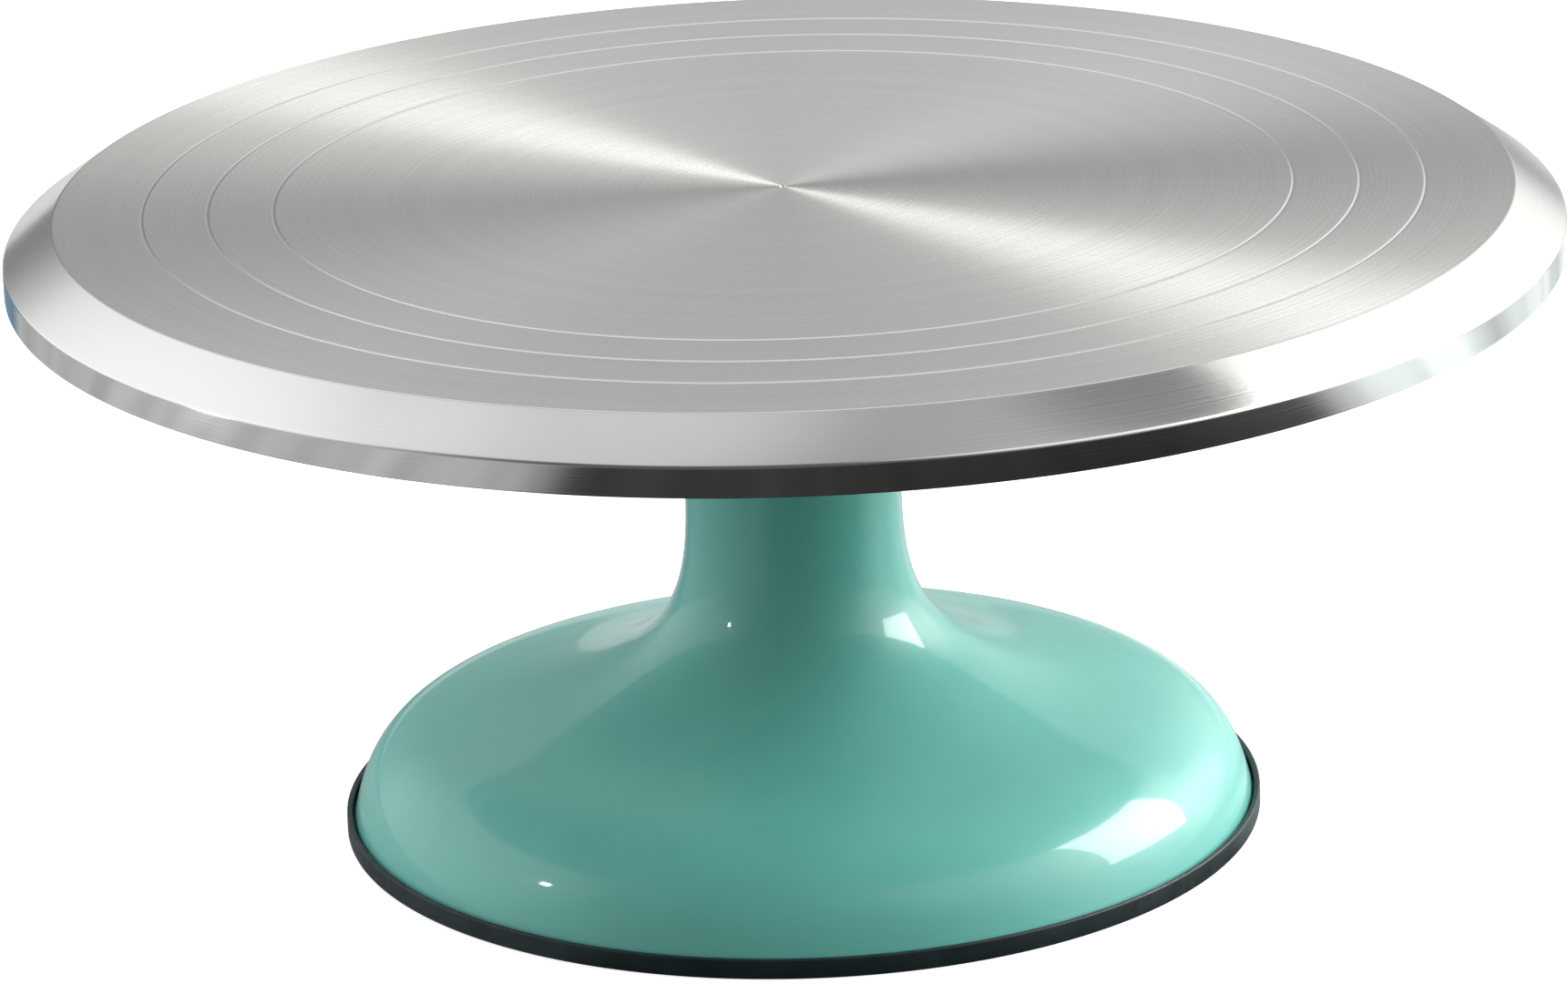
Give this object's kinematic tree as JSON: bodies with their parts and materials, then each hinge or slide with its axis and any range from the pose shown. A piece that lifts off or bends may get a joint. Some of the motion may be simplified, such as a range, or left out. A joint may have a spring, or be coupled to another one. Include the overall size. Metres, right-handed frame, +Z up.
{
  "type": "cake turntable",
  "caption": "Revolving cake stand: round turned aluminium plate with a bevelled edge, spinning on ball bearings in the neck of a flared enamelled base with a rubber foot ring.",
  "frame": {"origin": "on the spin axis, at the middle of the foot ring's underside", "axes": "+Z up along the spin axis, out of the plate's top face; the object is round about it, so +X and +Y are free"},
  "size_m": [0.301, 0.301, 0.128],
  "materials": {
    "turned_aluminium": "fine concentric turning marks, satin, with a smoother bevel and rim",
    "teal_enamel": "glossy pale teal enamel over a casting",
    "black_rubber": "smooth moulded black rubber",
    "ground_steel": "turned and ground steel",
    "zinc_steel": "zinc-plated steel",
    "bearing_steel": "polished bearing steel",
    "pressed_steel": "pressed sheet steel",
    "blue_nylon": "moulded nylon"
  },
  "bodies": {
    "base": {"base_shell": "teal_enamel", "foot_ring": "black_rubber", "upper_bearing_outer_ring": "bearing_steel", "upper_bearing_top_shield": "pressed_steel", "upper_bearing_bottom_shield": "pressed_steel", "lower_bearing_outer_ring": "bearing_steel", "lower_bearing_top_shield": "pressed_steel", "lower_bearing_bottom_shield": "pressed_steel"},
    "turntable": {"turntable_plate": "turned_aluminium", "spindle": "ground_steel", "flange_screw_1": "zinc_steel", "flange_screw_2": "zinc_steel", "flange_screw_3": "zinc_steel", "flange_screw_4": "zinc_steel", "upper_bearing_inner_ring": "bearing_steel", "lower_bearing_inner_ring": "bearing_steel", "bearing_spacer": "zinc_steel", "spindle_washer": "zinc_steel", "spindle_nut": "zinc_steel", "spindle_nut_insert": "blue_nylon"},
    "upper_bearing_cage_and_balls": {"upper_bearing_cage": "pressed_steel", "upper_bearing_ball_1": "bearing_steel", "upper_bearing_ball_2": "bearing_steel", "upper_bearing_ball_3": "bearing_steel", "upper_bearing_ball_4": "bearing_steel", "upper_bearing_ball_5": "bearing_steel", "upper_bearing_ball_6": "bearing_steel", "upper_bearing_ball_7": "bearing_steel"},
    "lower_bearing_cage_and_balls": {"lower_bearing_cage": "pressed_steel", "lower_bearing_ball_1": "bearing_steel", "lower_bearing_ball_2": "bearing_steel", "lower_bearing_ball_3": "bearing_steel", "lower_bearing_ball_4": "bearing_steel", "lower_bearing_ball_5": "bearing_steel", "lower_bearing_ball_6": "bearing_steel", "lower_bearing_ball_7": "bearing_steel"}
  },
  "joints": [
    {"name": "plate_spin", "type": "hinge", "parent": "base", "child": "turntable", "pos_m": [0, 0, 0.1135], "axis": [0, 0, 1], "continuous": true},
    {"name": "upper_cage_spin", "type": "hinge", "parent": "base", "child": "upper_bearing_cage_and_balls", "pos_m": [0, 0, 0.106], "axis": [0, 0, 1], "continuous": true},
    {"name": "lower_cage_spin", "type": "hinge", "parent": "base", "child": "lower_bearing_cage_and_balls", "pos_m": [0, 0, 0.043], "axis": [0, 0, 1], "continuous": true}
  ],
  "couplings": [
    {"joint": "upper_cage_spin", "follows": "plate_spin", "ratio": 0.3682},
    {"joint": "lower_cage_spin", "follows": "plate_spin", "ratio": 0.3682}
  ]
}
